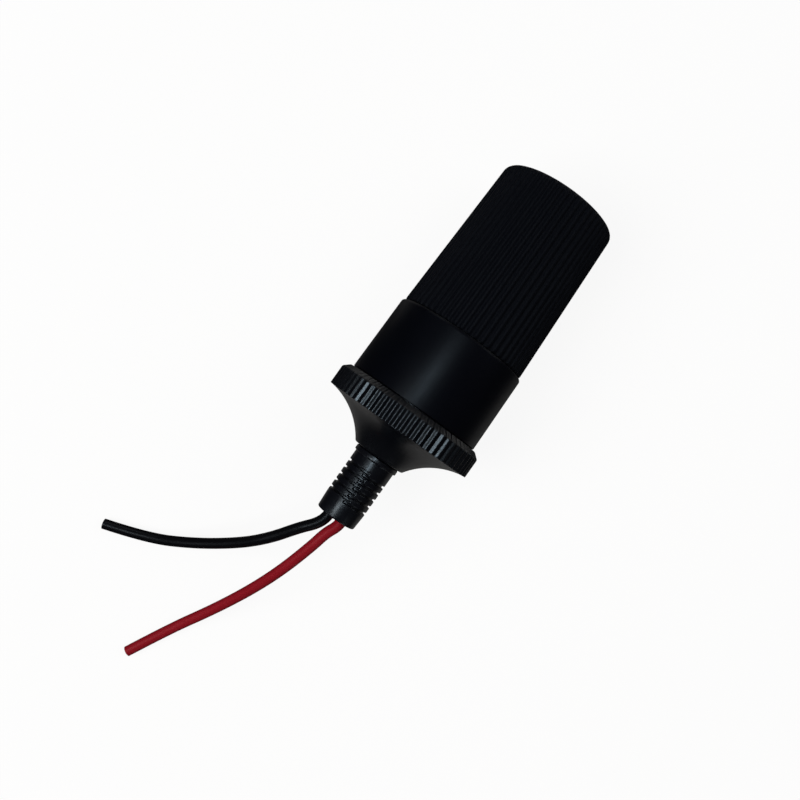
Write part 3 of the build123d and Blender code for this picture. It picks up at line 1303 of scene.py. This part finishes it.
@dataclass
class Studio:
    """White ground and backdrop, soft lamps and the camera."""

    camera_place: Point = (-0.003718, 0.003136, 0.201878)
    camera_forward: Point = (-0.04885, 0.0, -0.99881)
    camera_right: Point = (0.57902, -0.81482, -0.02832)
    camera_near: float = 0.005
    sensor: float = 36.0
    lens: float = 40.5
    ground_half: float = 3.0
    ground_gap: float = 2e-5
    ground_seen: float = 0.96
    ground_lit: float = 0.15
    ground_shadow: float = 0.1
    # Ground colour seen in mirrors: dark far off, lighter in painted pools of light beside the relief and the
    # barrel, and brightest in a painted pool before the mouth. These are painted reflections for the plastic
    # and the can.
    mirrored_far: float = 0.03
    painted_pool_level: float = 0.24
    painted_pool_ahead_level: float = 1.0
    painted_pool_beside_relief: Patch = Patch((-0.03, -0.02, 0.0), 0.03, 0.06)
    painted_pool_beside_barrel: Patch = Patch((0.028, 0.042, 0.0), 0.014, 0.034)
    painted_pool_before_mouth: Patch = Patch((0.2, 0.0, 0.0), 0.11, 0.15)
    shadowed: Patch = Patch((0.0, 0.0, 0.0), 0.1, 0.3)
    sky_low: float = 0.15
    sky_high: float = 0.02
    sky_fade: Span = (0.1, 0.6)
    sky_mirrored: float = 0.03
    sky_ahead: float = 0.3
    window_ahead: Span = (0.6, 0.9)
    window_up: Span = (0.2, 0.5)
    strip_reach: float = 0.4
    strip_height: float = 0.26

    def build_ground(self) -> None:
        """Lays the ground: white to the camera but for a faint shadow, and in mirrors dark with painted pools
        of light.
        """
        bm = bmesh.new()
        bmesh.ops.create_grid(bm, x_segments=2, y_segments=2, size=self.ground_half)
        bmesh.ops.translate(bm, verts=bm.verts[:], vec=(0, 0, -self.ground_gap))
        shader = Shader(bpy.data.materials.new("white_ground"))
        camera, glossy, clear = shader.rays()
        # Painted pools of light on the ground, seen only in mirrors: lighter beside the relief and the
        # barrel, and brightest before the mouth.
        painted_pool_share = self.painted_pool_beside_relief.share(shader).highest(self.painted_pool_beside_barrel.share(shader))
        level = self.mirrored_far + (self.painted_pool_level - self.mirrored_far) * painted_pool_share
        level = level + (self.painted_pool_ahead_level - self.mirrored_far) * self.painted_pool_before_mouth.share(shader)
        unseen = self.ground_lit + glossy.highest(clear) * (level - self.ground_lit)
        seen = unseen + camera * (self.ground_seen - unseen)
        paper = shader.node("ShaderNodeBsdfDiffuse", {}, {"Color": seen})
        glow = shader.node("ShaderNodeEmission", {}, {"Color": (1, 1, 1, 1), "Strength": 1.0})
        share = camera * (1 - self.ground_shadow * self.shadowed.share(shader))
        mixed = shader.node("ShaderNodeMixShader", {}, {0: share, 1: paper.outputs[0], 2: glow.outputs[0]})
        ground = add_mesh("ground", bm, shader.finished(mixed))

    def build_sky(self) -> None:
        """Makes the backdrop: white to the camera, uneven in mirrors, and brighter low down to the rest."""
        world = bpy.data.worlds.new("studio")
        bpy.context.scene.world = world
        shader = Shader(world)
        direction = shader.node("ShaderNodeTexCoord").outputs["Generated"]
        parts = shader.node("ShaderNodeSeparateXYZ", {}, {0: direction}).outputs
        ahead, up = shader.number(parts[0]), shader.number(parts[2])
        room = self.sky_low - (self.sky_low - self.sky_high) * up.rise(*self.sky_fade)
        camera, glossy, clear = shader.rays()
        window = ahead.rise(*self.window_ahead) * (1 - up.rise(*self.window_up))
        shown = self.sky_mirrored + (self.sky_ahead - self.sky_mirrored) * window
        strength = camera + (1 - camera) * (room + glossy.highest(clear) * (shown - room))
        back = shader.node("ShaderNodeBackground", {}, {"Color": (1, 1, 1, 1), "Strength": strength})
        shader.node("ShaderNodeOutputWorld", {}, {"Surface": back.outputs[0]})

    def build_lamps(self) -> None:
        """Hangs the key and fill, the boxes that the black plastic mirrors, and a strip at each corner."""
        lamps = [
            Softbox("key", (-0.35, 0.45, 0.75), (0, 0, 0.01), (0.7, 0.7), 7.2, WARM_WHITE, False),
            Softbox("fill", (0.5, -0.4, 0.7), (0, 0, 0.01), (0.8, 0.8), 3.6, WARM_WHITE, False),
            Softbox("streak", (0.025, 0.062, 0.5), (0.025, 0.0, 0.02), (0.09, 0.08), 0.33, DAY_WHITE, True),
            Softbox("veil", (0.12, 0.05, 0.5), (0.12, 0.0, 0.02), (0.1, 0.16), 0.035, COOL_WHITE, True),
            Softbox("glint", (-0.14, 0.19, 0.48), (-0.06, 0.0, 0.02), (0.12, 0.12), 0.38, COOL_WHITE, True),
        ]
        for number, (x, y) in enumerate(((1, 1), (-1, 1), (-1, -1), (1, -1)), start=1):
            place = (x * self.strip_reach, y * self.strip_reach, self.strip_height)
            lamps.append(
                Softbox(f"strip_{number}", place, (0, 0, 0.015), (0.3, 0.1), 0.16, COOL_WHITE, True)
            )
        for lamp in lamps:
            lamp.build()

    def build_camera(self) -> None:
        """Sets the camera above the socket, turned as the photograph was."""
        camera = bpy.data.cameras.new("camera")
        camera.sensor_fit = "HORIZONTAL"
        camera.sensor_width = self.sensor
        camera.lens = self.lens
        camera.clip_start = self.camera_near
        right = Vector(self.camera_right).normalized()
        back = -Vector(self.camera_forward).normalized()
        turn = Matrix((right, back.cross(right), back)).transposed()
        holder = add_object("camera", camera)
        holder.matrix_world = Matrix.Translation(self.camera_place) @ turn.to_4x4()
        bpy.context.scene.camera = holder

    def build(self) -> None:
        """Builds the whole studio."""
        bpy.context.scene.view_settings.view_transform = "Standard"
        self.build_ground()
        self.build_sky()
        self.build_lamps()
        self.build_camera()


BODY_PLASTIC = MouldedPlastic(
    "body_plastic", colour=(0.0008, 0.001, 0.0024), rubbed=(0.0013, 0.0016, 0.0032), roughness=0.38,
    polish=0.05, grain=0.16, grain_depth=0.004, gloss=0.15, matting=0.3,
)
CAP_PLASTIC = MouldedPlastic(
    "cap_plastic", colour=(0.0005, 0.0009, 0.0022), rubbed=(0.0024, 0.003, 0.0048), roughness=0.3,
    polish=0.06, grain=0.14, grain_depth=0.003, gloss=0.65,
)
DISC_PLASTIC = MouldedPlastic(
    "disc_plastic", colour=(0.045, 0.03, 0.022), rubbed=(0.07, 0.05, 0.04), roughness=0.5,
    polish=0.05, grain=0.3, grain_depth=0.006, gloss=0.4,
)
RELIEF_VINYL = SoftVinyl(
    "relief_vinyl", colour=(0.001, 0.0013, 0.003), scuffed=(0.003, 0.0036, 0.006),
    roughness=0.3, ripple=0.003, gloss=0.55,
)
RED_VINYL = SoftVinyl(
    "red_vinyl", colour=(0.232, 0.006, 0.0125), scuffed=(0.29, 0.014, 0.025),
    roughness=0.42, ripple=0.008, gloss=0.1,
)
BLACK_VINYL = SoftVinyl(
    "black_vinyl", colour=(0.0016, 0.0016, 0.0026), scuffed=(0.004, 0.004, 0.0052),
    roughness=0.36, ripple=0.008, gloss=0.2,
)
CAN_STEEL = WorkedMetal("can_steel", (0.74, 0.74, 0.73), (0.56, 0.55, 0.53), 0.26, Lay.DRAWN)
CONTACT_BRASS = WorkedMetal("contact_brass", (0.72, 0.56, 0.27), (0.42, 0.28, 0.12), 0.24, Lay.TURNED)
TAG_BRASS = WorkedMetal("tag_brass", (0.7, 0.66, 0.5), (0.48, 0.4, 0.26), 0.3, Lay.DRAWN)
BARE_COPPER = WorkedMetal("bare_copper", (0.74, 0.36, 0.2), (0.4, 0.16, 0.08), 0.3, Lay.DRAWN)
WASHER_FIBRE = PressedFibre("washer_fibre", (0.3, 0.15, 0.085), (0.42, 0.25, 0.15))

RED_LENGTH = 64.3
RED_ROUTE = (
    (-43.75, -0.28, 19.0),
    (-47.4, 0.45, 18.9),
    (-55.7, 2.55, 16.2),
    (-64.8, 5.5, 10.9),
    (-75.7, 10.05, 4.6),
    (-86.3, 15.65, 1.21),
    (-96.25, 20.6, 1.21),
)
BLACK_LENGTH = 59.4
BLACK_ROUTE = (
    (-43.4, 2.5, 19.0),
    (-45.95, 4.7, 18.7),
    (-52.2, 8.7, 16.3),
    (-58.4, 13.7, 10.9),
    (-66.0, 22.0, 4.6),
    (-72.2, 31.5, 1.21),
    (-75.36, 41.6, 1.21),
)


def main() -> None:
    """Builds the studio and every piece of the socket."""
    logging.basicConfig(level=logging.INFO, format="%(name)s %(message)s")
    shop = Workshop(SocketAxis.from_record(frame["record"]))
    Studio().build()
    red, black = RED_VINYL.material(shop.axis), BLACK_VINYL.material(shop.axis)
    copper = BARE_COPPER.material(shop.axis)
    leads = (
        (red, "lead_red", Side.RED, RED_LENGTH, RED_ROUTE, "red_vinyl", "red_lead"),
        (black, "lead_black", Side.BLACK, BLACK_LENGTH, BLACK_ROUTE, "black_vinyl", "black_lead"),
    )
    for vinyl, *lead in leads:
        FreeLead(shop, vinyl, copper, *lead).build()
    BarrelMoulding(shop, BODY_PLASTIC).build()
    CapMoulding(shop, CAP_PLASTIC).build()
    ReliefSleeve(shop, RELIEF_VINYL).build()
    can = ContactCan(shop, CAN_STEEL)
    can.build()
    ContactStack(can, WASHER_FIBRE, CONTACT_BRASS).build()
    InnerWorks(shop, DISC_PLASTIC, TAG_BRASS, red, black, copper).dress()


if __name__ == "__main__":
    main()
